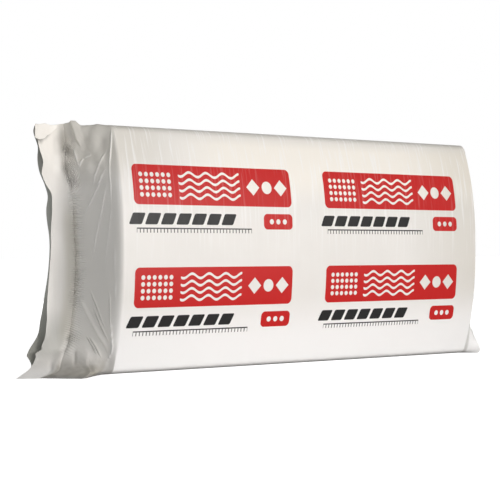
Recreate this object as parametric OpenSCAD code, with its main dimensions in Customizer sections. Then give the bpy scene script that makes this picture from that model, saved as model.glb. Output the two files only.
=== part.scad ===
// A film-wrapped pack of mineral wool facade boards, standing on its long edge.
// The boards lie face to face along Y. A shrunk film sleeve squeezes their long
// edges, is welded shut across each end, and its free ends stand out as two flaps.
// Frame: X along the pack, Y through the boards, +Z up, origin under the middle.

/* [Boards] */
// Length of a board
board_length = 1200; // [600:50:1500]
// Width of a board, which is the height of the standing pack
board_width = 600; // [400:50:800]
// Thickness of a board where nothing squeezes it
board_thickness = 50; // [40:5:80]
// Number of boards in the pack
board_count = 6; // [4:1:8]

/* [Squeeze of the wrapping] */
// How far each big face of the pack falls back at its long edges
edge_squeeze = 50; // [10:5:60]
// How late the big face curves back towards its long edges
squeeze_power = 2.4; // [2:0.2:4]
// Radius of the pack's four long edges
long_edge_radius = 25; // [10:1:30]

/* [Film] */
// Wall of the film, drawn thicker than the real foil
film_wall = 1; // [0.6:0.1:2]
// Room between the ends of the boards and the film's upright edges
end_edge_room = 12; // [5:1:20]
// Share of the end panel that the rounding of an upright edge takes
end_edge_share = 0.2; // [0.1:0.05:0.4]
// Clear gap between the two layers of film beside the weld
weld_gap = 1; // [0.6:0.1:2]
// Width of the welded band
weld_band = 6; // [3:1:10]
// Distance from the boards to the weld, half way up
weld_standoff = 44; // [30:1:80]
// How much further out the weld stands at the top
weld_flare_top = 36; // [0:1:60]
// How much further out the weld stands along the floor
weld_flare_bottom = 90; // [0:1:100]

/* [Flaps] */
// Reach of the flaps past the boards, half way up
flap_reach = 112; // [100:1:140]
// How much further the flaps reach at the top
flap_flare_top = 48; // [0:1:100]
// How much further the flaps reach along the floor
flap_flare_bottom = 128; // [0:1:140]
// How far both flaps lean towards the back, half way up
flap_lean = 32; // [0:1:40]
// How far their lower corners turn towards the front, along the floor
flap_tail = 60; // [0:1:80]
// Most that each flap stands off the middle plane at its free edge
flap_opening = 8; // [1:1:20]
// Sideways wave of the two flaps together
flap_wave = 6; // [0:1:15]
// Height of one wave
flap_wave_pitch = 240; // [150:10:400]

/* [Hidden] */
stack_thickness = board_count * board_thickness;
side_steps = 22;   // stretches of a big face, from one long edge to the other
corner_steps = 4;  // stretches of a rounded long edge
flat_steps = 2;    // stretches of half the top or the bottom
fillet_steps = 4;  // rings round an upright edge
panel_steps = 3;   // rings from there to the weld
flap_steps = 5;    // rings from the welded band to the free edge
weld_power = 3;    // how late the weld flares towards the top
top_power = 2;     // how late the flaps flare towards the top
bottom_power = 5;  // how late the weld and the flaps flare towards the floor

// ---- Cross-section of the squeezed stack: y across the boards, z from its underside ----

// -1 at the underside, 1 at the top
function height_share(z) = 2 * z / board_width - 1;

// Half the pack's thickness at height z
function half_width(z) =
    stack_thickness / 2 - edge_squeeze * pow(abs(height_share(z)), squeeze_power);

// Lean of the big face at height z: positive where it leans back upwards
function lean(z) =
    let (u = height_share(z))
    atan(2 * edge_squeeze * squeeze_power / board_width
        * pow(abs(u), squeeze_power - 1) * sign(u));

edge_lean = lean(board_width - long_edge_radius / 2);
corner_start = long_edge_radius * (1 - sin(edge_lean));
corner_y = half_width(corner_start) - long_edge_radius * cos(edge_lean);

// Front half of the outline, from the middle of the underside to the middle of the
// top, as [y, z, share], all grown outwards by `grow`. The share is 1 on the big face
// and falls to 0 at the middle of the top and the underside.
function side_points(grow) = [
    for (i = [0:side_steps])
        let (
            z = corner_start + (board_width - 2 * corner_start) * i / side_steps,
            a = lean(z)
        )
        [half_width(z) + grow * cos(a), z + grow * sin(a), 1]
];

function top_points(grow) = concat(
    [
        for (i = [1:corner_steps])
            let (
                a = edge_lean + (90 - edge_lean) * i / corner_steps,
                y = corner_y + (long_edge_radius + grow) * cos(a)
            )
            [y, board_width - long_edge_radius + (long_edge_radius + grow) * sin(a),
                y / half_width(corner_start)]
    ],
    [
        for (i = [1:flat_steps])
            let (y = corner_y * (1 - i / flat_steps))
            [y, board_width + grow, y / half_width(corner_start)]
    ]
);

function upside_down(points) = [
    for (i = [len(points) - 1:-1:0])
        [points[i][0], board_width - points[i][1], points[i][2]]
];

function front_half(grow) =
    concat(upside_down(top_points(grow)), side_points(grow), top_points(grow));

// The whole closed outline, with the front on -Y
function outline(grow) =
    let (half = front_half(grow))
    concat(
        [for (p = half) [-p[0], p[1], -p[2]]],
        [for (i = [len(half) - 2:-1:1]) half[i]]
    );

// ---- The film past the boards' ends, at one point of the outline ----

function weld_x(z) =
    let (u = height_share(z))
    board_length / 2 + weld_standoff
        + (u > 0 ? weld_flare_top * pow(u, weld_power)
                 : weld_flare_bottom * pow(-u, bottom_power));

function flap_x(z) =
    let (u = height_share(z))
    board_length / 2 + flap_reach
        + (u > 0 ? flap_flare_top * pow(u, top_power)
                 : flap_flare_bottom * pow(-u, bottom_power));

// The two layers part between the weld (t = 0) and the free edge (t = 1), and stay
// folded together at the top and the bottom
function flap_half_gap(z, t) =
    weld_gap / 2 + flap_opening * t * t * (1 - pow(abs(height_share(z)), 4));

// Sideways place of both layers: a lean that bends at the weld, and a wave
function flap_sway(z, t) =
    let (
        u = height_share(z),
        free_edge = flap_lean * (1 - u * u)
            - (u < 0 ? flap_tail * pow(-u, bottom_power) : 0)
    )
    free_edge * t * (2 - t) + flap_wave * t * t * sin(360 * z / flap_wave_pitch);

function mix(a, b, t) = a + (b - a) * t;

function bezier(a, b, c, t) = mix(mix(a, b, t), mix(b, c, t), t);

// [x, y, z] of each ring, from the boards' end to the flaps' free edge
function end_path(p, grow) =
    let (
        z = min(max(p[1], 0), board_width),
        start = [board_length / 2, p[0]],
        corner = [board_length / 2 + end_edge_room + grow, p[0]],
        weld = [weld_x(z) + grow, p[2] * (weld_gap / 2 + grow)],
        band_end = weld_x(z) + weld_band,
        rounded = mix(corner, weld, end_edge_share)
    )
    concat(
        [for (i = [0:fillet_steps])
            let (q = bezier(start, corner, rounded, i / fillet_steps))
            [q[0], q[1], p[1] + film_wall]],
        [for (i = [1:panel_steps])
            let (q = mix(rounded, weld, i / panel_steps))
            [q[0], q[1], p[1] + film_wall]],
        [for (i = [0:flap_steps])
            let (t = i / flap_steps)
            [mix(band_end, flap_x(z), t),
                p[2] * (flap_half_gap(z, t) + grow) + flap_sway(z, t),
                p[1] + film_wall]]
    );

// One layer of the film as a grid: a row for each point of the outline, running from
// the left free edge to the right one
function film_rows(grow) = [
    for (p = outline(grow))
        let (right = end_path(p, grow), last = len(right) - 1)
        concat(
            [for (i = [last:-1:0]) [-right[i][0], right[i][1], right[i][2]]],
            right
        )
];

// ---- The solids ----

// A tube with a wall: the outer and inner grids, closed by a rim at each free edge
module thick_tube(outer, inner) {
    rows = len(outer);
    cols = len(outer[0]);
    inner_at = rows * cols;
    function at(layer, i, j) = layer * inner_at + (i % rows) * cols + j;
    outer_faces = [
        for (i = [0:rows - 1], j = [0:cols - 2])
            each [
                [at(0, i, j), at(0, i + 1, j), at(0, i + 1, j + 1)],
                [at(0, i, j), at(0, i + 1, j + 1), at(0, i, j + 1)]
            ]
    ];
    inner_faces = [
        for (i = [0:rows - 1], j = [0:cols - 2])
            each [
                [at(1, i, j), at(1, i + 1, j + 1), at(1, i + 1, j)],
                [at(1, i, j), at(1, i, j + 1), at(1, i + 1, j + 1)]
            ]
    ];
    rims = [
        for (i = [0:rows - 1])
            each [
                [at(0, i, 0), at(1, i, 0), at(1, i + 1, 0)],
                [at(0, i, 0), at(1, i + 1, 0), at(0, i + 1, 0)],
                [at(0, i, cols - 1), at(1, i + 1, cols - 1), at(1, i, cols - 1)],
                [at(0, i, cols - 1), at(0, i + 1, cols - 1), at(1, i + 1, cols - 1)]
            ]
    ];
    polyhedron(
        points = concat([for (row = outer) each row], [for (row = inner) each row]),
        faces = concat(outer_faces, inner_faces, rims)
    );
}

// The band across each end where the two layers are melted together
module weld() {
    half = front_half(0);
    top = len(half) - 1 - 2 * flat_steps;
    inner_edge = [
        for (i = [0:top])
            let (z = half[i + flat_steps][1])
            [weld_x(z), z + film_wall]
    ];
    outer_edge = [for (i = [top:-1:0]) inner_edge[i] + [weld_band, 0]];
    bite = film_wall / 2;
    rotate([90, 0, 0])
        linear_extrude(height = weld_gap + 2 * bite, center = true)
            polygon(concat(
                [inner_edge[0] - [0, bite]], inner_edge,
                [inner_edge[top] + [0, bite], outer_edge[0] + [0, bite]],
                outer_edge, [outer_edge[top] - [0, bite]]
            ));
}

module film_wrap() {
    color("whitesmoke")
        union() {
            thick_tube(film_rows(film_wall), film_rows(0));
            weld();
            mirror([1, 0, 0]) weld();
        }
}

// The curve between two boards keeps its share of the pack's thickness at every height
function joint_curve(share) = [
    for (p = concat([[0, 0]], side_points(0), [[0, board_width]]))
        [share * half_width(p[1]), p[1]]
];

// Cross-section of board i, counted from the front
module board_section(i) {
    front_share = 2 * (i - 1) / board_count - 1;
    back_share = 2 * i / board_count - 1;
    whole = [for (p = outline(0)) [p[0], p[1]]];
    reach = stack_thickness;
    low = joint_curve(front_share);
    high = joint_curve(back_share);
    cell = concat(
        i == 1 ? [[-reach, 0], [-reach, board_width]] : low,
        i == board_count ? [[reach, board_width], [reach, 0]]
                         : [for (k = [len(high) - 1:-1:0]) high[k]]
    );
    intersection() {
        polygon(whole);
        polygon(cell);
    }
}

module board(i) {
    color("darkkhaki")
        translate([board_length / 2, 0, film_wall])
            rotate([90, 0, -90])
                linear_extrude(height = board_length)
                    board_section(i);
}

film_wrap();
for (i = [1:board_count])
    board(i);
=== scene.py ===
"""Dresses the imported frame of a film-wrapped pack of mineral wool facade boards.

The CAD gives the boards and a plain film. This script replaces the film with a
detailed one, gives the boards their wool, and adds the print, studio and camera.
Metres, apart from the tables that say mm. X along the pack, the front face on -Y, +Z up.
"""

import math

import bpy
import numpy as np
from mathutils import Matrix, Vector


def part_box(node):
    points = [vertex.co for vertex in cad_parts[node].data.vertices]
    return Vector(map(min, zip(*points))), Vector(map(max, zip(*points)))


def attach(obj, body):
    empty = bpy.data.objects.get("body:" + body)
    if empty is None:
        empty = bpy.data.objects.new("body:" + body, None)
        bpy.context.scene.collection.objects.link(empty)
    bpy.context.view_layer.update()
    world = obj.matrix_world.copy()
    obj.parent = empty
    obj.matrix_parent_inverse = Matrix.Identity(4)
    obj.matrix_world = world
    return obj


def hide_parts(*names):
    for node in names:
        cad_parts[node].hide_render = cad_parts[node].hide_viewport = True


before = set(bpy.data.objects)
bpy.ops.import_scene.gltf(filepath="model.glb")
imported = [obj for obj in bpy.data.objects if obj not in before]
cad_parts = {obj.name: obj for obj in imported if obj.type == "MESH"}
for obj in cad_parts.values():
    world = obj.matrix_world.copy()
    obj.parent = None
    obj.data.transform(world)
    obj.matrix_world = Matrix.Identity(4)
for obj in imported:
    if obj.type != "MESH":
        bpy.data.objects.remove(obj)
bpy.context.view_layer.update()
BOARDS = sorted(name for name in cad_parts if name.startswith("board_"))
BOARD_LOW, BOARD_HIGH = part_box(BOARDS[0])
FILM_LOW, FILM_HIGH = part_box("film_wrap")

# ---- Sizes taken from the frame ----

LENGTH = BOARD_HIGH[0] - BOARD_LOW[0]
WIDTH = BOARD_HIGH[2] - BOARD_LOW[2]
WALL = BOARD_LOW[2]
THICKNESS = FILM_HIGH[1] - FILM_LOW[1] - 2 * WALL

# ---- The squeezed section, as in the part's source ----

EDGE_SQUEEZE = 0.050
SQUEEZE_POWER = 2.4
EDGE_RADIUS = 0.025

# ---- How finely the film is drawn, in rows round it and columns along it ----

FLAT_ROWS = 22
CORNER_ROWS = 18
SIDE_ROWS = 280
BODY_COLUMNS = 72
ROUND_COLUMNS = 9
PANEL_COLUMNS = 72
FLAP_COLUMNS = 50
LINING_COLUMNS = 16
EAR_ROWS = 26
# Crowds the columns of the sleeve towards its ends, where the film is gathered
BODY_CROWDING = 1.6


def height_share(z):
    """-1 at the underside of the boards, 1 at their top."""
    return np.clip(2 * (z - WALL) / WIDTH - 1, -1, 1)


def half_width(z):
    """Half the thickness of the squeezed pack at height z."""
    return THICKNESS / 2 - EDGE_SQUEEZE * np.abs(height_share(z)) ** SQUEEZE_POWER


def lean(z):
    """Angle that the big face leans back by at height z, in radians."""
    u = height_share(z)
    slope = 2 * EDGE_SQUEEZE * SQUEEZE_POWER / WIDTH * np.abs(u) ** (SQUEEZE_POWER - 1)
    return np.arctan(slope * np.sign(u))


def smooth(low, high, value):
    """0 below low, 1 above high, and an S between them."""
    t = np.clip((value - low) / (high - low), 0, 1)
    return t * t * (3 - 2 * t)


def curve_through(points, z):
    """A smooth curve of value over height through a few [height, value] points, in mm."""
    heights = np.array([p[0] for p in points], float) / 1000
    values = np.array([p[1] for p in points], float) / 1000
    slopes = np.gradient(values, heights)
    z = np.clip(z, heights[0], heights[-1])
    i = np.clip(np.searchsorted(heights, z) - 1, 0, len(heights) - 2)
    step = heights[i + 1] - heights[i]
    t = (z - heights[i]) / step
    a = values[i] * (1 + 2 * t) * (1 - t) ** 2 + values[i + 1] * t * t * (3 - 2 * t)
    b = slopes[i] * step * t * (1 - t) ** 2 - slopes[i + 1] * step * t * t * (1 - t)
    return a + b


class Noise:
    """Smooth noise between -1 and 1 on a plane, the same on every run."""

    def __init__(self, seed, size=64):
        self.grid = np.random.RandomState(seed).uniform(-1, 1, (size, size))
        self.size = size

    def __call__(self, x, y, scale):
        x, y = x / scale, y / scale
        i, j = np.floor(x).astype(int), np.floor(y).astype(int)
        u, v = x - i, y - j
        u, v = u * u * (3 - 2 * u), v * v * (3 - 2 * v)
        g, n = self.grid, self.size
        low = g[i % n, j % n] * (1 - u) + g[(i + 1) % n, j % n] * u
        high = g[i % n, (j + 1) % n] * (1 - u) + g[(i + 1) % n, (j + 1) % n] * u
        return low * (1 - v) + high * v


# ---- The section's outline, half of it from the underside's middle to the top's ----


def section_half():
    """Arrays of half-depth, height and share, which is 1 on the big face and 0 mid-way."""
    top = WALL + WIDTH
    edge_lean = lean(top - EDGE_RADIUS / 2)
    corner_start = EDGE_RADIUS * (1 - math.sin(edge_lean))
    corner_y = half_width(WALL + corner_start) - EDGE_RADIUS * math.cos(edge_lean)
    z_face = np.linspace(WALL + corner_start, top - corner_start, SIDE_ROWS + 1)
    w_side = half_width(z_face) + WALL * np.cos(lean(z_face))
    z_side = z_face + WALL * np.sin(lean(z_face))
    turn = np.linspace(edge_lean, math.pi / 2, CORNER_ROWS + 1)[1:]
    w_corner = corner_y + (EDGE_RADIUS + WALL) * np.cos(turn)
    z_corner = top - EDGE_RADIUS + (EDGE_RADIUS + WALL) * np.sin(turn)
    w_flat = np.linspace(corner_y, 0, FLAT_ROWS + 1)[1:]
    z_flat = np.full(FLAT_ROWS, WIDTH + 2 * WALL)
    w_top = np.concatenate([w_corner, w_flat])
    z_top = np.concatenate([z_corner, z_flat])
    share_top = w_top / w_side[-1]
    w = np.concatenate([w_top[::-1], w_side, w_top])
    z = np.concatenate([(2 * WALL + WIDTH - z_top)[::-1], z_side, z_top])
    share = np.concatenate([share_top[::-1], np.ones(SIDE_ROWS + 1), share_top])
    return w, z, share


def section_loop():
    """The closed outline: up the front, over the top and down the back."""
    w, z, share = section_half()
    side = np.concatenate([np.full(len(w) - 1, -1.0), np.full(len(w) - 1, 1.0)])
    order = np.concatenate([np.arange(len(w) - 1), np.arange(len(w) - 1, 0, -1)])
    return w[order], z[order], share[order], side


# ---- The film past the boards' ends ----

# Heights and values in mm. The weld and the free edges are distances past the boards.
# The sway and the opening are depths at the free edges, and lean is the depth that the
# flap heads for as it leaves the weld. Turn says how far out, in thousandths of the way
# to the free edge, it has bent away from the panel. Skirt, in metres, is how far the film
# spreads forward over the floor and how high that starts. Spread is the part of the
# skirt at places from -1 at the boards over 0 at the weld to 1 at the free edge.
# Room is how far past the boards the film turns their upright edges, and share is the
# part of the panel that the turn takes, both near the floor and near the top.
#
# The weld and the two free edges of LEFT_END, and the places in CREASES, PUFFS and SHADES,
# began as numbers that a scratch program worked out from positions read off the photo.
# They were thinned out and moved since.
LEFT_END = {
    "seed": 11,
    "weld": [[0, 186], [9, 153], [30, 114], [41, 94], [54, 78], [75, 65], [93, 62],
             [134, 56], [202, 47], [251, 44], [349, 48], [425, 52], [455, 57], [480, 67],
             [505, 72], [543, 73], [602, 79]],
    "front_edge": [[0, 244], [20, 203], [46, 164], [55, 156], [59, 143], [70, 134],
                   [82, 123], [116, 111], [177, 105], [240, 100], [335, 98], [410, 97],
                   [440, 103], [461, 121], [485, 135], [510, 135], [545, 150], [602, 159]],
    "back_edge": [[0, 240], [27, 183], [38, 177], [48, 175], [57, 164], [88, 127],
                  [130, 110], [202, 95], [275, 88], [330, 89], [400, 99], [433, 98],
                  [458, 109], [491, 130], [524, 142], [545, 145], [590, 162], [602, 159]],
    "sway": [[0, -60], [20, -44], [40, -14], [60, 12], [80, 28], [110, 38], [150, 44],
             [250, 42], [300, 39], [440, 29], [500, 13], [560, -2], [602, -6]],
    "lean": [[0, -55], [20, -38], [40, -10], [60, 8], [90, 22], [150, 32], [300, 34],
             [440, 31], [500, 22], [540, 24], [575, 24], [602, 12]],
    "opening": [[0, 2], [40, 10], [100, 14], [250, 12], [400, 12], [520, 10], [602, 1]],
    "turn": [[0, 500], [90, 460], [150, 420], [250, 330], [450, 200], [510, 190],
             [545, 320], [580, 340], [602, 250]],
    "skirt": (0.126, 0.062),
    "spread": [[-1, 0], [-0.86, 0.10], [-0.33, 1], [0, 0.70], [1, 0]],
    "room": (0.009, 0.004),
    "share": (0.15, 0.05),
}
RIGHT_END = dict(
    LEFT_END,
    seed=23,
    weld=[[0, 94], [50, 76], [100, 64], [150, 52], [240, 46], [330, 46], [450, 52], [530, 62],
          [602, 68]],
    front_edge=[[0, 160], [30, 130], [90, 112], [150, 108], [300, 100], [430, 100],
                [480, 106], [602, 104]],
    back_edge=[[0, 150], [30, 128], [90, 108], [190, 102], [300, 94], [400, 94],
               [500, 100], [602, 100]],
    sway=[[0, 14], [60, 20], [150, 34], [300, 46], [450, 66], [602, 86]],
    lean=[[0, 10], [60, 16], [150, 30], [300, 42], [450, 60], [602, 78]],
    skirt=(0.072, 0.130),
    spread=[[-1, 0], [-0.55, 1], [0, 0.6], [1, 0]],
    room=(0.003, 0.003),
    share=(0.30, 0.30),
)

# Half the thickness of the two layers at the weld, and how wide and deep it is pressed
WELD_HALF = 0.0008
WELD_EDGES = (0.0010, 0.0028)
WELD_DEPTH = 0.0006

# Heights between which an end's room and share change from low to high
ROOM_HEIGHTS = (0.40, 0.55)

# Distances past the boards between which the relief sets in, so that it starts from 0
# where an end's film meets the sleeve
RELIEF_START = (0.0, 0.004)

# Creases on a panel, each from its upper to its lower end: distance from the weld and
# height of both, how tall its crest is, and how wide its two flanks are, towards the
# boards and towards the weld, all in mm. The distance is below 0 on the panel.
CREASES = [
    [-124, 596, -122, 488, 2.0, 2.4, 3.6],
    [-123, 560, -121, 400, 1.1, 3.0, 5.0],
    [-113, 542, -61, 444, 1.7, 4.0, 4.0],
    [-111, 496, -32, 380, 2.1, 4.0, 4.0],
    [-110, 458, -52, 262, 1.6, 3.6, 5.0],
    [-123, 406, -98, 244, 0.9, 8.0, 5.0],
    [-130, 312, -135, 158, 1.2, 2.4, 3.0],
    [-121, 126, -130, 30, 2.4, 3.4, 4.0],
    [-114, 202, -122, 98, 1.1, 5.0, 2.2],
    [-14, 187, -123, 48, 2.6, 9.0, 5.0],
    [-51, 202, -105, 112, 1.8, 5.0, 2.2],
    [-63, 162, -116, 79, 1.8, 5.0, 2.2],
    [-50, 91, -90, 48, 1.8, 5.0, 2.2],
    [-58, 91, -104, 42, 1.8, 5.0, 2.2],
    [-6, 630, -42, 549, 6.5, 20.0, 4.0],
    [-72, 530, -49, 521, 1.4, 3.0, 9.0],
    [-50, 523, -33, 494, 2.0, 3.0, 10.0],
    [-22, 548, -39, 498, 1.5, 6.0, 4.0],
]

# Where along its length a crease grows and dies away, and how much of their full width
# its flanks keep there
CREASE_GROWS = (-0.06, 0.22)
CREASE_DIES = (0.68, 1.06)
CREASE_NARROWEST = 0.45

# Creases no taller than this have a sharp crest, this wide each way, both in mm
CREST_TALLEST = 2.4
CREST_REACH = 2.6
# How strong a crest is marked for each mm that its crease is tall
CREST_STRENGTH = 0.4

# Most in mm that the unseen creases are moved, so that no two panels are alike
CREASE_SHIFT = 6

# Puffs of the film round the weld, or hollows where their height is below 0: distance
# from the weld, height above the floor, reach each way, and height of the puff, in mm
PUFFS = [
    [16, 560, 14, 26, -5], [-4, 539, 5, 9, -4], [2, 455, 5, 8, -2],
    [-20, 478, 11, 18, 2], [-12, 440, 10, 10, 1.5], [0, 196, 4, 5, -2.5], [-8, 66, 14, 14, 4],
    [4, 84, 6, 7, -3], [6, 42, 18, 15, 6], [-55, 40, 16, 13, 2], [-28, 40, 4, 14, -3.5],
    [-71, 572, 18, 16, 4], [-98, 556, 12, 16, -4], [-92, 522, 14, 14, 2.5],
    [-64, 496, 14, 18, 2.5], [32, 24, 9, 12, -3],
]

# Soft shade in the deep folds round the weld: distance from the weld, height above the
# floor and reach each way in mm, and how strong it is
SHADES = [
    [2, 570, 17, 22, 0.9], [4, 548, 12, 8, 1.2], [-3, 546, 8, 8, 1.2],
    [3, 496, 8, 20, 1.3], [2, 455, 5, 8, 0.8], [-2, 60, 10, 24, 0.8],
]

# How far a hollow must lie below the smooth film to count as deep, and how soon that
# fades away from the weld
HOLLOW_DEPTH = 0.0045
HOLLOW_REACH = 0.030

# Crumpled film round the weld: the height and size of its facets, coarse and fine, the
# heights above and below which it lies, and its middle and reach from the weld
CRUMPLES = [(0.0045, 0.042), (0.0018, 0.019)]
CRUMPLED_ABOVE = (0.42, 0.52)
CRUMPLED_BELOW = (0.03, 0.10)
CRUMPLED_AT = -0.040
CRUMPLED_REACH = 0.060
# Directions that the facets face, and how far their edges bend, as a share of their size
FACET_ANGLES = (0.35, 1.45, 2.50)
FACET_BEND = 0.45

# Slow swelling of the film between its creases: height, size, and where it sets in
SWELL_HEIGHT = 0.0022
SWELL_SIZE = 0.060
SWELL_START = (-0.150, -0.100)

# Pleats across the weld: height and pitch, coarse and fine, the heights at which they
# start and end, and how far they fan out as they leave the weld
COARSE_PLEAT = (0.0011, 0.009)
FINE_PLEAT = (0.0004, 0.005)
PLEATS_START = (0.03, 0.10)
PLEATS_END = (0.52, 0.60)
PLEAT_FAN = 0.18

# Gathers of the film over the top: the height of the ridges over the boards and how soon
# they fade there, how far the film sinks past the boards, and how much of the top's half
# width they take
RIDGE_HEIGHT = 0.0045
RIDGE_FADE = 0.085
SINK_DEPTH = 0.0060
SINK_LENGTH = 0.080
GATHERED_WIDTH = 0.55

# The fold over the flap's upper corner: where along the flap it starts, how far its
# lower edge hangs down at points along it, in thousandths and mm, and how far it stands
# off the flap at its upper edge and at its lower one
EAR_START = 0.30
EAR_DROP = [[0, 5], [200, 14], [380, 22], [560, 27], [720, 34], [880, 36], [1000, 32]]
EAR_CLEARANCE = 0.0010
EAR_LIFT = 0.014
# How strong the shadow painted on the flap below the ear is
EAR_SHADE = 1.6

# The lining starts this far along the flap. It lies LINING_CLOSED inside the film at the
# free edge, and LINING_INSET further inside before that
LINING_START = 0.30
LINING_INSET = 0.0010
LINING_CLOSED = 0.0001

# Folds that lift the top's outline: distance from the weld, rise, and reach towards the
# boards and towards the free edge, in mm
TOP_BUMPS = [[-85, 4, 24, 20], [-30, 13, 14, 55], [52, 4, 20, 20]]


def bezier(a, b, c, t):
    """A curve from a to c that heads for b at both ends."""
    return a * (1 - t) ** 2 + 2 * b * t * (1 - t) + c * t * t


def end_path(shape, w, z, share, side):
    """The film's smooth path past one end at each height, as three stretches.

    Each stretch is a function of t from 0 to 1 that gives the distance past the boards
    and the depth: round the upright edge, along the panel to the weld, and out the flap.
    """
    weld = curve_through(shape["weld"], z)
    edge = np.where(side < 0, curve_through(shape["front_edge"], z),
                    curve_through(shape["back_edge"], z))
    sway = curve_through(shape["sway"], z)
    gap = side * share * curve_through(shape["opening"], z)
    turn = curve_through(shape["turn"], z)

    high = smooth(*ROOM_HEIGHTS, z)
    room, part = (low + (top - low) * high for low, top in (shape["room"], shape["share"]))
    start = (0.0, side * w)
    corner = (room, side * w)
    tip = (weld, side * share * WELD_HALF)
    rounded = tuple(c + (p - c) * part for c, p in zip(corner, tip))
    free = (edge, sway + gap)
    heading = curve_through(shape["lean"], z)
    middle = (weld + turn * (edge - weld), heading + 0.5 * gap)
    return (
        lambda t: [bezier(start[k], corner[k], rounded[k], t) for k in (0, 1)],
        lambda t: [rounded[k] + (tip[k] - rounded[k]) * t for k in (0, 1)],
        lambda t: [bezier(tip[k], middle[k], free[k], t) for k in (0, 1)],
    )


def end_rows(shape):
    """Distance past the boards, depth and height of one end's film, rows by columns."""
    w, z, share, side = (v[:, None] for v in section_loop())
    stretches = []
    counts = (ROUND_COLUMNS, PANEL_COLUMNS, FLAP_COLUMNS)
    paths = end_path(shape, w, z, share, side)
    for number, (count, path) in enumerate(zip(counts, paths)):
        # Each stretch after the first leaves out the column that it shares with the last
        t = np.arange(min(number, 1), count + 1)[None, :] / count
        stretches.append(path(t))
    out = np.concatenate([s[0] for s in stretches], axis=1)
    depth = np.concatenate([s[1] for s in stretches], axis=1)
    height = np.broadcast_to(z, out.shape).copy()
    return out, depth, height, side, share


def crease(p, z, line):
    """The height of one crease: straight flanks up to a crest that tapers at both ends."""
    p0, z0, p1, z1, tall, near, far = (v / 1000 for v in line)
    length = math.hypot(p1 - p0, z1 - z0)
    along = ((p - p0) * (p1 - p0) + (z - z0) * (z1 - z0)) / length ** 2
    across = ((p - p0) * (z1 - z0) - (z - z0) * (p1 - p0)) / length
    fade = smooth(*CREASE_GROWS, along) * (1 - smooth(*CREASE_DIES, along))
    flank = np.where(across > 0, near, far)
    flank = flank * (CREASE_NARROWEST + (1 - CREASE_NARROWEST) * fade)
    return tall * fade * np.clip(1 - np.abs(across) / flank, 0, 1)


def triangle_wave(x):
    """Straight ramps between -1 and 1 and back, 2 long."""
    return 2 * np.abs((x % 2) - 1) - 1


def facets(p, z, noise, size):
    """Crumpled film between -1 and 1: flat facets that meet in soft folds.

    The offsets only take the two bends from different parts of the noise.
    """
    p = p + FACET_BEND * size * noise(p + 3.1, z + 1.7, 1.6 * size)
    z = z + FACET_BEND * size * noise(p + 7.9, z + 5.3, 1.6 * size)
    total = 0
    for angle in FACET_ANGLES:
        total = total + triangle_wave((p * math.cos(angle) + z * math.sin(angle)) / size)
    return total / len(FACET_ANGLES)


def crease_lines(half, shape):
    """The creases of one half: as listed where they are seen, else shifted a little."""
    seen = shape is LEFT_END and half < 0
    own = np.random.RandomState(shape["seed"] + 5 * half)
    shift = own.uniform(-CREASE_SHIFT, CREASE_SHIFT, (len(CREASES), 4))
    return [list(np.array(line[:4]) + moved * (not seen)) + line[4:]
            for line, moved in zip(CREASES, shift)]


def crests(p, z, side, shape):
    """Up to 1 along the sharp tops of the finer creases, and 0 beside them."""
    total = np.zeros_like(p)
    for half in (-1, 1):
        for line in crease_lines(half, shape):
            if line[4] <= CREST_TALLEST:
                strength = 1000 * CREST_STRENGTH * line[4]
                thin = crease(p, z, line[:4] + [strength, CREST_REACH, CREST_REACH])
                total = np.where(side == half, np.maximum(total, thin), total)
    return total


def half_relief(p, z, half, shape):
    """The relief of the front half, where half is -1, or of the back half."""
    own = Noise(shape["seed"] + half)
    h = np.zeros_like(p)
    for line in crease_lines(half, shape):
        h += crease(p, z, line)
    for place, height, reach, rise, tall in np.array(PUFFS) / 1000:
        h += tall * np.exp(-((p - place) / reach) ** 2 - ((z - height) / rise) ** 2)
    crumpled = smooth(*CRUMPLED_ABOVE, z) + 1 - smooth(*CRUMPLED_BELOW, z)
    near = np.exp(-((p - CRUMPLED_AT) / CRUMPLED_REACH) ** 2)
    for tall, size in CRUMPLES:
        h += tall * facets(p, z, own, size) * crumpled * near
    h += SWELL_HEIGHT * own(p, z, SWELL_SIZE) * smooth(*SWELL_START, p)
    return h + pleats(p, z, shape)


def pleats(p, z, shape):
    """Fine uneven gathers across the weld, longer on the panel than on the flap."""
    coarse, fine = Noise(shape["seed"] + 9), Noise(shape["seed"] + 10)
    fan = z + PLEAT_FAN * np.abs(p) * np.sin(z / 0.045)
    # 12 mm long on the flap and 24 mm on the panel, give or take 8 mm
    reach = 0.012 + 0.008 * coarse(z * 0 + 0.3, z, 0.030) + 0.012 * smooth(0.004, -0.004, p)
    strength = smooth(*PLEATS_START, z) * (1 - smooth(*PLEATS_END, z))
    # The noise is stretched along the pleats, the coarse one more than the fine one
    lift = COARSE_PLEAT[0] * coarse(fan, 0.12 * p, COARSE_PLEAT[1])
    lift = lift + FINE_PLEAT[0] * fine(fan, 0.20 * p, FINE_PLEAT[1])
    return lift * np.exp(-np.abs(p / reach) ** 1.5) * strength


def relief(p, z, side, shape):
    """How far the film stands out of its smooth form, along its normal.

    Past the weld the two halves lie on each other, so the back one follows the front one.
    """
    front = half_relief(p, z, -1, shape)
    back = half_relief(p, z, 1, shape)
    joined = smooth(-0.030, -0.005, p)
    return np.where(side < 0, front, back * (1 - joined) - front * joined)


def weld_line(p):
    """The weld itself: a narrow flat band pressed a little into the film."""
    return -WELD_DEPTH * (1 - smooth(*WELD_EDGES, np.abs(p)))


def top_rise(p, z):
    """How far folds lift the front of the top past the boards."""
    rise = 0
    for place, tall, before, after in np.array(TOP_BUMPS) / 1000:
        reach = np.where(p < place, before, after)
        rise = rise + tall * np.clip(1 - np.abs(p - place) / reach, 0, 1)
    return rise * smooth(0.560, 0.600, z)


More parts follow.
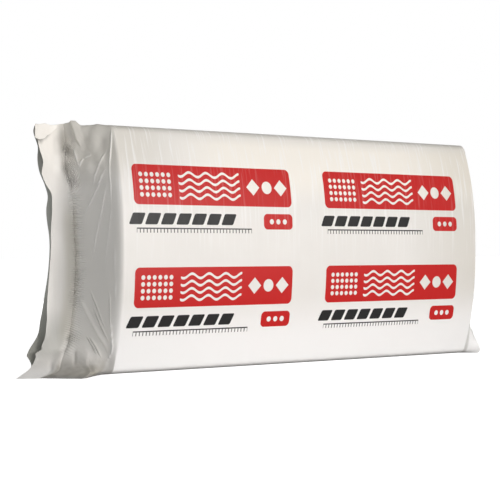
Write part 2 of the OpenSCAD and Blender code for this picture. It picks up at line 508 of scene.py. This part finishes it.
def from_weld(out, depth):
    """Distance along the film from the weld to each column, below 0 on the panel."""
    steps = np.hypot(np.diff(out, axis=1), np.diff(depth, axis=1))
    p = np.concatenate([np.zeros_like(out[:, :1]), np.cumsum(steps, axis=1)], axis=1)
    at_weld = ROUND_COLUMNS + PANEL_COLUMNS
    return p - p[:, at_weld:at_weld + 1]


def skirt(p, height, shape):
    """How far the film spreads forward over the floor."""
    reach, start = shape["skirt"]
    low = 0.5 + 0.5 * np.cos(math.pi * np.minimum(height / start, 1))
    place = np.where(p < 0, -p / p[:, :1], p / p[:, -1:])
    return reach * low * np.interp(place, *zip(*shape["spread"]))


def hollows(p, height, side, lift, shape):
    """Above 0 in folds that lie in shade, which the film's material darkens."""
    hollow = smooth(0.0, -HOLLOW_DEPTH, lift) * np.exp(-np.abs(p) / HOLLOW_REACH)
    if shape is LEFT_END:
        for place, level, wide, tall, strength in SHADES:
            spot = ((p * 1000 - place) / wide) ** 2 + ((height * 1000 - level) / tall) ** 2
            hollow = np.maximum(hollow, strength * np.exp(-spot) * (side < 0))
        hollow = np.maximum(hollow, under_ear(p, height) * (side < 0))
    return hollow


def end_points(shape, sign):
    """Points of one end's film as rows by columns by XYZ, and three values for each.

    The values are how far it is a sharp crest, its distance from the weld, and how deep
    it lies in a shaded fold.
    """
    out, depth, height, side, share = end_rows(shape)
    p = from_weld(out, depth)
    depth = depth - skirt(p, height, shape)

    points = np.stack([sign * (LENGTH / 2 + out), depth, height], axis=-1)
    along = np.gradient(points, axis=1)
    around = (np.roll(points, -1, axis=0) - np.roll(points, 1, axis=0)) / 2
    normal = np.cross(along, around) * sign
    normal /= np.linalg.norm(normal, axis=-1, keepdims=True) + 1e-12
    lift = relief(p, height, side, shape) + weld_line(p)
    lift = lift * smooth(*RELIEF_START, out) * share ** 2
    points = points + normal * lift[..., None]
    if shape is LEFT_END:
        points[..., 2] += top_rise(p, height) * np.where(side < 0, share, 0)
    top_dip(points, side, out, shape)
    points[..., 2] = np.maximum(points[..., 2], 0)
    hollow = hollows(p, height, side, lift, shape)
    return points, crests(p, height, side, shape), p, hollow


def gathers(across, beyond, room, shape):
    """Rise of the film on top: ridges over the boards, and a hollow past their ends.

    Across is -1 to 1 over the top, beyond is the distance past the boards, and room is
    the share of the top's width that is left there.
    """
    own = Noise(shape["seed"] + 20)
    wave = own(across, beyond * 0 + 0.05, 0.085) + 0.5 * own(across, beyond, 0.045)
    fade = np.where(beyond > 0, 1, np.exp(-np.abs(beyond / RIDGE_FADE) ** 1.3))
    past = smooth(0.0, 0.020, beyond)
    inner = np.clip(1 - (across / GATHERED_WIDTH) ** 2, 0, 1) ** 0.5
    ridges = RIDGE_HEIGHT * np.clip(wave, 0, 1) * fade
    sunk = SINK_DEPTH * (0.6 + 0.5 * wave) * room
    return (ridges * (1 - past) - sunk * past) * inner


def top_dip(points, side, beyond, shape):
    """Moves the flat top rows of a piece of film up and down by their gathers."""
    w, z = (v[:, None] for v in section_loop()[:2])
    across = side * w / w.max()
    flat = np.where(z > WIDTH + 2 * WALL - 1e-5, 1, 0)
    room = np.clip(1 - beyond / SINK_LENGTH, 0, 1)
    points[..., 2] += gathers(across, beyond, room, shape) * flat


def body_points():
    """Points of the film along the boards, between its two ends."""
    w, z, _, side = (v[:, None] for v in section_loop())
    t = np.linspace(-1, 1, BODY_COLUMNS + 1)
    x = np.sign(t) * (1 - (1 - np.abs(t)) ** BODY_CROWDING) * LENGTH / 2
    points = np.stack(np.broadcast_arrays(x[None, :], side * w, z), axis=-1).copy()
    for shape, sign in ((LEFT_END, -1), (RIGHT_END, 1)):
        half = points[:, x * sign >= 0]
        top_dip(half, side, sign * half[..., 0] - LENGTH / 2, shape)
        points[:, x * sign >= 0] = half
    return points


def under_ear(p, z):
    """The shade on the flap just below the ear's lower edge, and 0 away from it."""
    across = (p / p[:, -1:] - EAR_START) / (1 - EAR_START)
    gap = FILM_HIGH[2] - curve_through(EAR_DROP, np.clip(across, 0, 1)) - z
    below = smooth(-0.003, 0.001, gap) * smooth(0.016, 0.001, gap)
    return EAR_SHADE * smooth(0.0, 0.3, across) * below


def ear_points(shape, sign):
    """A fold of the top film that hangs down over the front of the flap."""
    w_half, z_half, share_half = section_half()
    across = np.linspace(0, 1, FLAP_COLUMNS + 1)[None, :]
    down = np.linspace(0, 1, EAR_ROWS + 1)[:, None]
    drop = curve_through(EAR_DROP, across)
    z = FILM_HIGH[2] - 0.0005 - drop * down
    w = np.interp(z, z_half, w_half)
    share = np.interp(z, z_half, share_half)
    flap = end_path(shape, w, z, share, -1)[2]
    out, depth = flap(EAR_START + (1 - EAR_START) * across)
    p = np.hypot(out - curve_through(shape["weld"], z), depth)
    lift = EAR_CLEARANCE + EAR_LIFT * down ** 0.8 * (0.15 + 0.85 * across ** 1.5)
    # Its free end reaches a little past the flap's, and further at its lower edge
    out = out + (0.004 + 0.012 * down) * smooth(0.6, 1.0, across)
    return np.stack([sign * (LENGTH / 2 + out), depth - lift, z + top_rise(p, z)], axis=-1)


def lining_points(points):
    """The flap's grey inner side, partly painted shade, just inside the film and closed to its
    edge.
    """
    t = np.linspace(LINING_START, 1.0, LINING_COLUMNS + 1)
    first = ROUND_COLUMNS + PANEL_COLUMNS
    film = points[:, np.round(first + t * FLAP_COLUMNS).astype(int)]
    facing = film[(-np.arange(len(film))) % len(film)]
    gap = np.linalg.norm(facing - film, axis=-1, keepdims=True)
    inset = LINING_INSET * (1 - smooth(0.92, 1.0, t))[None, :, None] + LINING_CLOSED
    # Where the two layers are close, the linings of both still fit between them
    inset = np.minimum(inset, 0.4 * gap)
    return film + (facing - film) * inset / (gap + 1e-9)


def sheet_object(name, points, flip, closed=True):
    """A mesh from rows by columns of points, its last row joined to its first if closed."""
    rows, columns = points.shape[:2]
    i = np.arange(rows if closed else rows - 1)[:, None]
    j = np.arange(columns - 1)[None, :]
    n = (i + 1) % rows
    quads = np.stack([i * columns + j, n * columns + j, n * columns + j + 1,
                      i * columns + j + 1], axis=-1).reshape(-1, 4)
    if flip:
        quads = quads[:, ::-1]
    mesh = bpy.data.meshes.new(name)
    mesh.from_pydata(points.reshape(-1, 3).tolist(), [], quads.tolist())
    mesh.update()
    mesh.shade_smooth()
    thing = bpy.data.objects.new(name, mesh)
    bpy.context.scene.collection.objects.link(thing)
    return thing


def store(thing, name, values):
    """Keeps one number for each point of a mesh, for its material to read."""
    layer = thing.data.attributes.new(name, "FLOAT", "POINT")
    layer.data.foreach_set("value", values.ravel().astype(np.float32))


# ---- Materials ----


class Graph:
    """Short names for the shader nodes that the materials below are made of."""

    def __init__(self, name):
        self.material = bpy.data.materials.new(name)
        self.material.use_nodes = True
        self.tree = self.material.node_tree
        self.shader = self.tree.nodes["Principled BSDF"]
        self.place = self.tree.nodes.new("ShaderNodeTexCoord").outputs["Object"]
        split = self.tree.nodes.new("ShaderNodeSeparateXYZ")
        self.tree.links.new(self.place, split.inputs[0])
        self.x, self.y, self.z = split.outputs

    def feed(self, socket, value):
        """Links a socket to another node's output, or sets it to a plain value."""
        if isinstance(value, bpy.types.NodeSocket):
            self.tree.links.new(value, socket)
        else:
            socket.default_value = value

    def math(self, operation, *values):
        node = self.tree.nodes.new("ShaderNodeMath")
        node.operation = operation
        for socket, value in zip(node.inputs, values):
            self.feed(socket, value)
        return node.outputs[0]

    def add(self, a, b):
        return self.math("ADD", a, b)

    def sub(self, a, b):
        return self.math("SUBTRACT", a, b)

    def mul(self, a, b):
        return self.math("MULTIPLY", a, b)

    def highest(self, first, *rest):
        for value in rest:
            first = self.math("MAXIMUM", first, value)
        return first

    def away(self, value, middle):
        """How far a value is from the middle, either way."""
        return self.math("ABSOLUTE", self.sub(value, middle))

    def repeat(self, value, pitch):
        """The place within one repeat of what comes again at every pitch."""
        return self.math("FLOORED_MODULO", value, pitch)

    def ramp(self, value, low, high, to_low=0.0, to_high=1.0):
        """A smooth step from to_low, where value is low, to to_high, where it is high."""
        node = self.tree.nodes.new("ShaderNodeMapRange")
        node.interpolation_type = "SMOOTHSTEP"
        for socket, number in zip(node.inputs, (value, low, high, to_low, to_high)):
            self.feed(socket, number)
        return node.outputs[0]

    def mix(self, share, a, b):
        node = self.tree.nodes.new("ShaderNodeMix")
        node.data_type = "RGBA"
        for socket, value in zip((node.inputs[0], node.inputs[6], node.inputs[7]),
                                 (share, a, b)):
            self.feed(socket, value)
        return node.outputs[2]

    def patch(self, strength, *limits):
        """The strength, faded out where a value lies short of its second limit.

        Each limit is a value, where it leaves nothing, and where it leaves all.
        """
        for value, nothing, everything in limits:
            strength = self.mul(strength, self.ramp(value, nothing, everything))
        return strength

    def lay(self, below, *tones):
        """Colours laid over another one in turn, each with its mask before it."""
        for mask, colour in tones:
            below = self.mix(mask, below, colour)
        return below

    def value(self, name):
        """A number that the mesh keeps for each of its points."""
        node = self.tree.nodes.new("ShaderNodeAttribute")
        node.attribute_name = name
        return node.outputs["Fac"]

    def noise(self, scale, stretch=(1, 1, 1), detail=2.0, rough=0.5):
        mapping = self.tree.nodes.new("ShaderNodeMapping")
        self.feed(mapping.inputs["Vector"], self.place)
        mapping.inputs["Scale"].default_value = stretch
        node = self.tree.nodes.new("ShaderNodeTexNoise")
        self.feed(node.inputs["Vector"], mapping.outputs[0])
        node.inputs["Scale"].default_value = scale
        node.inputs["Detail"].default_value = detail
        node.inputs["Roughness"].default_value = rough
        return node.outputs["Fac"]

    def bump(self, height, distance, below=None):
        node = self.tree.nodes.new("ShaderNodeBump")
        node.inputs["Strength"].default_value = 1.0
        node.inputs["Distance"].default_value = distance
        self.feed(node.inputs["Height"], height)
        if below is not None:
            self.feed(node.inputs["Normal"], below)
        return node.outputs[0]

    def box(self, u, v, left, low, right, high, radius=0.0):
        """1 inside a box with rounded corners in the plane of u and v, else 0."""
        half_u, half_v = (right - left) / 2 - radius, (high - low) / 2 - radius
        du = self.sub(self.away(u, (left + right) / 2), half_u)
        dv = self.sub(self.away(v, (low + high) / 2), half_v)
        far_u, far_v = self.math("MAXIMUM", du, 0.0), self.math("MAXIMUM", dv, 0.0)
        away = self.math("SQRT", self.add(self.mul(far_u, far_u), self.mul(far_v, far_v)))
        near = self.math("MINIMUM", self.math("MAXIMUM", du, dv), 0.0)
        return self.inked(self.sub(self.add(away, near), radius))

    def disc(self, u, v, mid_u, mid_v, radius):
        """1 inside a disc in the plane of u and v, else 0."""
        du, dv = self.sub(u, mid_u), self.sub(v, mid_v)
        away = self.math("SQRT", self.add(self.mul(du, du), self.mul(dv, dv)))
        return self.inked(self.sub(away, radius))

    def diamond(self, u, v, mid_u, mid_v, reach):
        """1 inside a square that stands on its corner, else 0."""
        distance = self.add(self.away(u, mid_u), self.away(v, mid_v))
        return self.inked(self.sub(distance, reach))

    def inked(self, distance):
        """1 where the signed distance to a printed shape is below 0, else 0."""
        return self.ramp(distance, PRINT_BLUR, -PRINT_BLUR)


def linear(*colour):
    """A colour given as a screen shows it, as the shaders want it."""
    return tuple(c / 12.92 if c <= 0.04045 else ((c + 0.055) / 1.055) ** 2.4
                 for c in colour) + (1.0,)


# The film's white, and a second one that it is mottled with
FILM_WHITE = linear(0.935, 0.925, 0.912)
MOTTLED_WHITE = linear(0.945, 0.935, 0.922)
# Whiter film for painted light and highlights, and two warm whites for painted warm light
LIT_WHITE = linear(0.995, 0.993, 0.993)
WARM_LIT_WHITE = linear(1.0, 0.985, 0.962)
CREAM_LIT = linear(0.99, 0.97, 0.935)
# Painted shade on the flaps' lower part, and painted shade in folds
LOW_FLAP_SHADE = linear(0.80, 0.797, 0.78)
FOLD_SHADE = linear(0.56, 0.55, 0.53)
# Painted shade: warm along edges and the weld, blotched by the floor, and on the lowest line
WARM_SHADE = linear(0.80, 0.775, 0.715)
LOW_FOLD_SHADE = linear(0.595, 0.575, 0.525)
FLOOR_SHADE = linear(0.62, 0.615, 0.61)
# The film's grey inner side, partly painted shade between the flap's layers, mottled, and
# where it nears the floor
LINING_TONES = (linear(0.80, 0.805, 0.785), linear(0.85, 0.855, 0.835))
LINING_LOW = linear(0.55, 0.545, 0.51)
# Stone wool between its tufts, on them, and single fibres
WOOL_TONES = (linear(0.42, 0.38, 0.27), linear(0.60, 0.55, 0.41))
WOOL_FIBRE = linear(0.72, 0.68, 0.54)

# The sleeve's points all carry this in place of a distance from the weld. No distance
# on an end comes near it. The ear's points carry a distance that is well out on a flap.
ON_SLEEVE = 1.0
ON_EAR = 0.05

# From one fine pleat beside the weld to the next
PLEAT_PITCH = 0.0052


# ---- The print: a made-up, wordless design ----

# Blocks of print repeat along and up the two big faces. Each is a red band with signs on
# it and a row of smaller print below, measured from the band's lower left corner.
RED = linear(0.785, 0.06, 0.055)
CHARCOAL = linear(0.10, 0.10, 0.105)
PRINT_BLUR = 0.0006
PRINT_STEP = (0.605, 0.250)
PRINT_START = (-0.570, 0.160)
# How far a block of print reaches before and below its band's corner
PRINT_MARGIN = (0.02, 0.075)
# The printed part of the faces: between two heights, no nearer to the middle plane than
# PRINT_DEPTH, and no further along than PRINT_END
PRINT_LOW, PRINT_HIGH = 0.085, 0.535
PRINT_DEPTH = 0.095
PRINT_END = 0.602
BAND = (0.490, 0.098)
BAND_RADIUS = 0.014


def band_signs(g, u, v):
    """White ink on a band: a field of dots, wavy fibres, two diamonds and a disc."""
    pitch, columns, rows, left, low = 0.0165, 6, 4, 0.016, 0.016
    cell = (g.repeat(g.sub(u, left), pitch), g.repeat(g.sub(v, low), pitch))
    dots = g.mul(g.disc(*cell, pitch / 2, pitch / 2, 0.0056),
                 g.box(u, v, left, low, left + columns * pitch, low + rows * pitch))

    wavelength, swing, start, end, half = 0.052, 0.0055, 0.135, 0.325, 0.0032
    waved = g.sub(v, g.mul(g.math("SINE", g.mul(u, 2 * math.pi / wavelength)), swing))
    fibres = [g.box(u, waved, start, mid - half, end, mid + half, 0.003)
              for mid in (0.022, 0.040, 0.058, 0.076)]

    middle, reach, radius = BAND[1] / 2, 0.021, 0.016
    signs = [g.diamond(u, v, 0.366, middle, reach), g.disc(u, v, 0.411, middle, radius),
             g.diamond(u, v, 0.456, middle, reach)]
    return g.highest(dots, *fibres, *signs)


def row_below(g, u, v):
    """Charcoal ink below a band: slanted blocks, and a strip with a tick every 10 mm."""
    pitch, count, lean_over = 0.046, 7, 0.45
    slant = g.sub(u, g.mul(v, lean_over))
    block = g.box(g.repeat(slant, pitch), v, 0.004, -0.048, 0.041, -0.020, 0.004)
    blocks = g.mul(block, g.box(slant, v, 0.0, -0.050, count * pitch, -0.018))

    start, end, foot, line, head = 0.005, 0.355, -0.068, -0.059, -0.056
    step, half = 0.010, 0.0012
    tick = g.sub(g.away(g.repeat(u, step), step / 2), half)
    ticks = g.mul(g.inked(tick), g.box(u, v, start, foot, end, line))
    strip = g.box(u, v, start, line, end, head, 0.001)
    return g.highest(blocks, ticks, strip)


def tag_below(g, u, v):
    """The red and the white ink of the small tag with three beads below a band."""
    low, high = -0.058, -0.018
    tag = g.box(u, v, 0.395, low, BAND[0], high, 0.012)
    beads = [g.disc(u, v, mid, (low + high) / 2, 0.0068) for mid in (0.421, 0.4425, 0.464)]
    return tag, beads


def print_masks(g):
    """Red, charcoal and white ink, each 0 to 1, over both big faces of the film."""
    # The back is printed like the front, seen from its own side
    front = g.math("LESS_THAN", g.y, 0.0)
    along = g.mul(g.x, g.sub(g.mul(front, 2.0), 1.0))
    u, v = (g.sub(g.repeat(g.sub(value, start - margin), step), margin)
            for value, start, margin, step
            in zip((along, g.z), PRINT_START, PRINT_MARGIN, PRINT_STEP))
    band = g.box(u, v, 0, 0, *BAND, BAND_RADIUS)
    tag, beads = tag_below(g, u, v)
    inks = (g.highest(band, tag), row_below(g, u, v), g.highest(band_signs(g, u, v), *beads))

    on_face = g.mul(g.math("GREATER_THAN", g.z, PRINT_LOW), g.math("LESS_THAN", g.z, PRINT_HIGH))
    on_face = g.mul(on_face, g.math("GREATER_THAN", g.away(g.y, 0.0), PRINT_DEPTH))
    on_face = g.mul(on_face, g.math("LESS_THAN", g.away(g.x, 0.0), PRINT_END))
    return [g.mul(ink, on_face) for ink in inks]


# ---- The film's material. Its heights and places are in metres ----


def gathered(g, p):
    """Height of the fine pleats beside a weld, which fan out upwards and downwards."""
    on_panel = g.patch(1.0, (p, -0.042, -0.010), (p, 0.004, 0.001))
    on_flap = g.patch(0.6, (p, 0.018, 0.006), (p, 0.0, 0.002))
    fan = g.sub(g.ramp(g.z, 0.40, 0.50), g.ramp(g.z, 0.30, 0.08, 0.0, 0.35))
    uneven = g.mul(g.noise(30.0, stretch=(0.3, 0.3, 1.0)), 0.012)
    phase = g.add(g.add(g.z, g.mul(p, fan)), uneven)
    wave = g.math("SINE", g.mul(phase, 2 * math.pi / PLEAT_PITCH))
    patches = g.ramp(g.noise(11.0, stretch=(0.3, 0.3, 1.0)), 0.35, 0.60, 0.25, 1.0)
    # None at the weld's two ends, and about twice as strong in its upper part
    strength = g.patch(g.ramp(g.z, 0.45, 0.49, 1.0, 2.2), (g.z, 0.03, 0.10), (g.z, 0.58, 0.54))
    return g.mul(g.mul(wave, g.add(on_panel, on_flap)), g.mul(patches, strength))


def broad_light_and_shade(g, flap, face):
    """Painted light and shade on the film where it lies smooth."""
    return [
        # Painted light from the floor on the foot of the big faces
        (g.patch(face, (g.z, 0.20, 0.06)), LIT_WHITE),
        # Warm painted light on the upper part of the flaps
        (g.patch(flap, (g.z, 0.40, 0.58)), WARM_LIT_WHITE),
        # Warm painted light on the upper part of the big faces, away from their left end
        (g.patch(g.mul(face, 0.8), (g.z, 0.40, 0.50), (g.z, 0.600, 0.560),
                 (g.x, -0.50, -0.25)), CREAM_LIT),
        # Painted light on the flaps along the floor, and painted shade on the flap just above
        # that
        (g.patch(g.mul(flap, 0.6), (g.z, 0.035, 0.005)), LIT_WHITE),
        (g.patch(flap, (g.z, 0.17, 0.09), (g.z, 0.03, 0.06)), LOW_FLAP_SHADE),
    ]


def fold_light_and_shade(g, p, off_flap):
    """Painted shade in folds, along edges and by the floor, and painted light on the right
    skirt.
    """
    blotches = g.ramp(g.noise(22.0), 0.25, 0.65, 0.5, 1.0)
    left_end = g.math("LESS_THAN", g.x, 0.0)
    # Painted shade along the top, and on the big faces by their right end and their upper left
    # corner
    shaded_edges = g.highest(g.patch(0.18, (g.z, 0.560, 0.600)),
                      g.patch(0.35, (g.x, 0.30, 0.60), (g.z, 0.10, 0.25)),
                      g.patch(0.35, (g.x, -0.38, -0.56), (g.z, 0.44, 0.54)))
    return [
        # Painted shade in the folds, as strong as each point's hollow value
        (g.mul(g.value("hollow"), 0.45), FOLD_SHADE),
        # Painted shade in blotches on the left end's film by the floor, from panel to just past
        # the weld
        (g.patch(g.mul(blotches, left_end), (g.z, 0.048, 0.006),
                 (g.away(p, -0.055), 0.090, 0.060)), LOW_FOLD_SHADE),
        (g.mul(shaded_edges, off_flap), WARM_SHADE),
        # Painted shade along the weld's seam, below its upper part
        (g.patch(0.45, (g.away(p, 0.009), 0.028, 0.006), (g.z, 0.44, 0.36),
                 (g.z, 0.05, 0.12)), WARM_SHADE),
        # Painted shade at the lower corner of the boards at the left end
        (g.patch(g.mul(off_flap, 0.75), (g.z, 0.090, 0.020), (g.x, -0.600, -0.606),
                 (p, -0.08, -0.15)), FOLD_SHADE),
        # Painted light on the right end's skirt, and a painted shadow along the fold it starts
        # from
        (g.patch(1.0, (g.x, 0.602, 0.610), (g.z, 0.24, 0.14)), LIT_WHITE),
        (g.patch(0.35, (g.away(g.x, 0.604), 0.007, 0.001), (g.z, 0.15, 0.08)), FOLD_SHADE),
        # Painted shade on the line where the film turns under the boards
        (g.patch(off_flap, (g.z, 0.012, -0.002), (g.x, 0.64, 0.60)), FLOOR_SHADE),
    ]


def crest_tones(g, p, crest):
    """Sharp crease tops: painted highlight high up and by the boards, painted shade low down."""
    by_boards = g.ramp(p, -0.117, -0.124)
    bright = g.highest(g.ramp(g.z, 0.20, 0.28), by_boards)
    dull = g.patch(g.mul(g.sub(1.0, by_boards), 0.75), (g.z, 0.24, 0.16))
    return [(g.mul(g.mul(crest, bright), 0.80), LIT_WHITE), (g.mul(crest, dull), FOLD_SHADE)]


def film_material():
    """Milky printed film, with painted shade in its folds and painted light in places."""
    g = Graph("film")
    p, crest = g.value("from_weld"), g.value("crest")
    flap = g.mul(g.ramp(p, 0.004, 0.020), g.math("LESS_THAN", p, ON_SLEEVE / 2))
    off_flap = g.sub(1.0, flap)
    # The sleeve, and the ends' film up to where it has turned the boards' corner
    face = g.highest(g.math("GREATER_THAN", p, ON_SLEEVE / 2), g.ramp(p, -0.11, -0.15))
    # Fine upright ribs in the upper part of the big faces, where the film is laid whiter
    ribs = g.patch(face, (g.noise(170.0, stretch=(1.0, 0.1, 0.05), detail=1.0), 0.52, 0.74),
                   (g.z, 0.22, 0.46))
    paper = g.mix(g.ramp(g.noise(6.0, detail=3.0), 0.3, 0.7), FILM_WHITE, MOTTLED_WHITE)
    paper = g.lay(paper, *broad_light_and_shade(g, flap, face), *fold_light_and_shade(g, p, off_flap),
                  *crest_tones(g, p, crest), (g.mul(ribs, 0.55), LIT_WHITE))
    # The red ink is a little paler on the ribs
    red, dark, white = print_masks(g)
    ink = g.lay(paper, (g.mul(red, g.ramp(ribs, 0.0, 1.0, 0.99, 0.93)), RED),
                (g.mul(dark, 0.99), CHARCOAL), (white, paper))
    g.feed(g.shader.inputs["Base Color"], ink)
    g.shader.inputs["Roughness"].default_value = 0.40
    g.shader.inputs["Specular IOR Level"].default_value = 0.28
    streaks = g.noise(60.0, stretch=(1.0, 0.2, 0.02), detail=3.0, rough=0.6)
    lift = g.bump(streaks, 0.0006)
    lift = g.bump(gathered(g, p), 0.0009, lift)
    lift = g.bump(crest, 0.0021, lift)
    lift = g.bump(g.noise(900.0, detail=1.0), 0.00005, lift)
    g.feed(g.shader.inputs["Normal"], lift)
    return g.material


def lining_material():
    """The film's inner side: grey, partly as painted shade between the flap's layers."""
    g = Graph("lining")
    mottle = g.noise(9.0, detail=3.0)
    tone = g.mix(g.ramp(mottle, 0.3, 0.7), *LINING_TONES)
    tone = g.mix(g.ramp(g.z, 0.30, 0.02, 0.0, 0.6), tone, LINING_LOW)
    g.feed(g.shader.inputs["Base Color"], tone)
    g.shader.inputs["Roughness"].default_value = 0.5
    g.feed(g.shader.inputs["Normal"], g.bump(g.noise(40.0, detail=2.0), 0.0008))
    return g.material


def wool_material():
    """Stone wool: matted olive-brown fibres that lie mostly along the board's faces."""
    g = Graph("wool")
    fibres = g.noise(420.0, stretch=(0.25, 1.0, 0.25), detail=4.0, rough=0.65)
    tufts = g.noise(34.0, stretch=(1.0, 2.5, 1.0), detail=4.0, rough=0.6)
    tone = g.mix(g.ramp(tufts, 0.30, 0.72), *WOOL_TONES)
    tone = g.mix(g.ramp(fibres, 0.55, 0.80, 0.0, 0.6), tone, WOOL_FIBRE)
    g.feed(g.shader.inputs["Base Color"], tone)
    g.shader.inputs["Roughness"].default_value = 0.95
    g.feed(g.shader.inputs["Normal"], g.bump(fibres, 0.0012, g.bump(tufts, 0.003)))
    return g.material


def add_piece(thing, material):
    thing.data.materials.append(material)
    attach(thing, "root")
    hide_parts("film_wrap")
    return thing


def add_film():
    film, lining = film_material(), lining_material()
    sleeve = add_piece(sheet_object("film_sleeve", body_points(), True), film)
    store(sleeve, "from_weld", np.full(len(sleeve.data.vertices), ON_SLEEVE))
    ends = []
    for name, shape, sign in (("left", LEFT_END, -1), ("right", RIGHT_END, 1)):
        points, crest, p, hollow = end_points(shape, sign)
        end = add_piece(sheet_object("film_end_" + name, points, sign > 0), film)
        store(end, "from_weld", p)
        store(end, "hollow", hollow)
        store(end, "crest", crest)
        inner = sheet_object("film_lining_" + name, lining_points(points), sign < 0)
        add_piece(inner, lining)
        ends.append((end, [inner]))
    ear = add_piece(sheet_object("film_ear_left", ear_points(LEFT_END, -1), True, False), film)
    store(ear, "from_weld", np.full(len(ear.data.vertices), ON_EAR))
    ends[0][1].append(ear)


def dress_boards():
    wool = wool_material()
    for name in BOARDS:
        for slot in bpy.data.objects[name].material_slots:
            slot.material = wool


# ---- Studio ----

# The floor reaches this far each way. What the camera sees of it glows, so that it is
# nearly white, and what it throws back on the pack is greyer.
FLOOR_REACH = 30
FLOOR_SEEN = linear(0.95, 0.95, 0.95)
FLOOR_GLOW = 0.85
FLOOR_BOUNCE = (0.70, 0.70, 0.70, 1)

# Soft light from all round, strongest below the first height of the sky and gone above
# the second, which run from -1 straight down to 1 straight up
SKY_COLOUR = (1.0, 1.0, 0.965, 1)
SKY_HEIGHTS = (-0.1, 0.9)
SKY_STRENGTH = 0.88

# Area lights: place, aim, size, power in watts, colour, and spread in degrees. The key
# lights the front, the side one the left end, and the back one what the photo's camera
# can't see, so that views from behind are readable.
LIGHTS = {
    "key": ((0.8, -4.2, 0.95), (-0.7, 0, 0.3), (2.0, 1.4), 36, (1.0, 0.972, 0.95), 100),
    "side": ((-4.0, -1.4, 0.9), (-0.6, 0, 0.3), (1.6, 1.6), 10.8, (0.96, 0.98, 1.0), 180),
    "back": ((2.4, 3.8, 1.1), (0.1, 0, 0.3), (2.0, 1.4), 44, (1.0, 0.985, 0.97), 180),
}

# The camera stands about 4 m off, level and low, and looks 38 degrees along the pack.
# The lens and the shift, for a sensor 36 mm wide, place the pack as the photo does.
CAMERA_PLACE = (-2.577, -3.166, 0.308)
CAMERA_TURN = 38.0
CAMERA_LENS = 108.6
CAMERA_SENSOR = 36
CAMERA_SHIFT = -0.0066


def floor_material():
    """Pale and matt. What the camera sees of it is lifted towards white."""
    material = bpy.data.materials.new("floor")
    material.use_nodes = True
    nodes, links = material.node_tree.nodes, material.node_tree.links
    nodes.clear()
    seen = nodes.new("ShaderNodeBsdfDiffuse")
    seen.inputs["Color"].default_value = FLOOR_SEEN
    glow = nodes.new("ShaderNodeEmission")
    glow.inputs["Strength"].default_value = FLOOR_GLOW
    lifted = nodes.new("ShaderNodeAddShader")
    bounce = nodes.new("ShaderNodeBsdfDiffuse")
    bounce.inputs["Color"].default_value = FLOOR_BOUNCE
    choose = nodes.new("ShaderNodeMixShader")
    output = nodes.new("ShaderNodeOutputMaterial")
    links.new(seen.outputs[0], lifted.inputs[0])
    links.new(glow.outputs[0], lifted.inputs[1])
    links.new(nodes.new("ShaderNodeLightPath").outputs["Is Camera Ray"], choose.inputs[0])
    links.new(bounce.outputs[0], choose.inputs[1])
    links.new(lifted.outputs[0], choose.inputs[2])
    links.new(choose.outputs[0], output.inputs["Surface"])
    return material


def add_floor():
    mesh = bpy.data.meshes.new("floor")
    corners = [(x * FLOOR_REACH, y * FLOOR_REACH, 0)
               for x, y in ((-1, -1), (1, -1), (1, 1), (-1, 1))]
    mesh.from_pydata(corners, [], [(0, 1, 2, 3)])
    floor = bpy.data.objects.new("floor", mesh)
    bpy.context.scene.collection.objects.link(floor)
    mesh.materials.append(floor_material())


def add_world():
    """Soft light all round, and a white backdrop where the camera looks past the part."""
    world = bpy.data.worlds.new("studio")
    bpy.context.scene.world = world
    world.use_nodes = True
    nodes, links = world.node_tree.nodes, world.node_tree.links
    soft = nodes["Background"]
    soft.inputs["Color"].default_value = SKY_COLOUR
    height = nodes.new("ShaderNodeSeparateXYZ")
    links.new(nodes.new("ShaderNodeTexCoord").outputs["Generated"], height.inputs[0])
    fade = nodes.new("ShaderNodeMapRange")
    for socket, number in zip(fade.inputs[1:5], (*SKY_HEIGHTS, SKY_STRENGTH, 0.0)):
        socket.default_value = number
    links.new(height.outputs[2], fade.inputs[0])
    links.new(fade.outputs[0], soft.inputs["Strength"])
    backdrop = nodes.new("ShaderNodeBackground")
    backdrop.inputs["Color"].default_value = (1, 1, 1, 1)
    choose = nodes.new("ShaderNodeMixShader")
    links.new(nodes.new("ShaderNodeLightPath").outputs["Is Camera Ray"], choose.inputs[0])
    links.new(soft.outputs[0], choose.inputs[1])
    links.new(backdrop.outputs[0], choose.inputs[2])
    links.new(choose.outputs[0], nodes["World Output"].inputs["Surface"])


def add_light(name, place, aim, size, power, colour, spread):
    light = bpy.data.lights.new(name, "AREA")
    light.spread = math.radians(spread)
    light.shape = "RECTANGLE"
    light.size, light.size_y = size
    light.energy = power
    light.color = colour
    thing = bpy.data.objects.new(name, light)
    bpy.context.scene.collection.objects.link(thing)
    thing.location = place
    thing.rotation_euler = (Vector(aim) - Vector(place)).to_track_quat("-Z", "Y").to_euler()


def add_studio():
    add_floor()
    add_world()
    for name, light in LIGHTS.items():
        add_light(name, *light)


def add_camera():
    camera = bpy.data.cameras.new("camera")
    camera.lens = CAMERA_LENS
    camera.sensor_width = CAMERA_SENSOR
    camera.shift_y = CAMERA_SHIFT
    thing = bpy.data.objects.new("camera", camera)
    bpy.context.scene.collection.objects.link(thing)
    thing.location = CAMERA_PLACE
    thing.rotation_euler = (math.radians(90), 0, -math.radians(CAMERA_TURN))
    bpy.context.scene.camera = thing


add_camera()
add_film()
dress_boards()
add_studio()
bpy.context.scene.view_settings.view_transform = "Standard"
